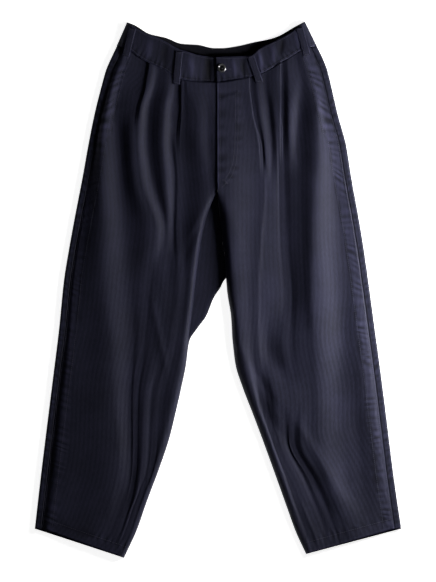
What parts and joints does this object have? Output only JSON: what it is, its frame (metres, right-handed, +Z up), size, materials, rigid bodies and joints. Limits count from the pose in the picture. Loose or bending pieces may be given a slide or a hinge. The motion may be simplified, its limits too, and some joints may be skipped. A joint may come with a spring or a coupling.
{
  "type": "pleated wide-leg trousers, laid flat",
  "caption": "Navy pleated wide-leg trousers laid flat front up: two pleats a side, button fly, belt loops, side pockets and topstitched hems.",
  "frame": {"origin": "centre of the bounding box, on the surface that the trousers lie on", "axes": "+Y from the hems towards the waist, +X towards the wearer's left, +Z up out of the front"},
  "size_m": [0.6776, 0.9925, 0.0206],
  "materials": {
    "navy_cloth": "soft navy herringbone cotton with a slight sheen",
    "navy_cloth_inside": "matt inside of the same cloth",
    "button_metal": "polished, slightly worn",
    "button_dark": "dark satin"
  },
  "bodies": {
    "root": {"back_left": "navy_cloth", "back_right": "navy_cloth", "front_left": "navy_cloth", "front_right": "navy_cloth", "hem_back_left": "navy_cloth", "hem_back_right": "navy_cloth", "hem_front_left": "navy_cloth", "hem_front_right": "navy_cloth", "waistband_left": "navy_cloth", "waistband_right": "navy_cloth", "waistband_back": "navy_cloth_inside", "loop_front_left": "navy_cloth", "loop_front_right": "navy_cloth", "loop_side_left": "navy_cloth", "loop_side_right": "navy_cloth", "pocket_left": "navy_cloth", "pocket_right": "navy_cloth", "button_rim": "button_metal", "button_centre": "button_dark"}
  },
  "joints": []
}
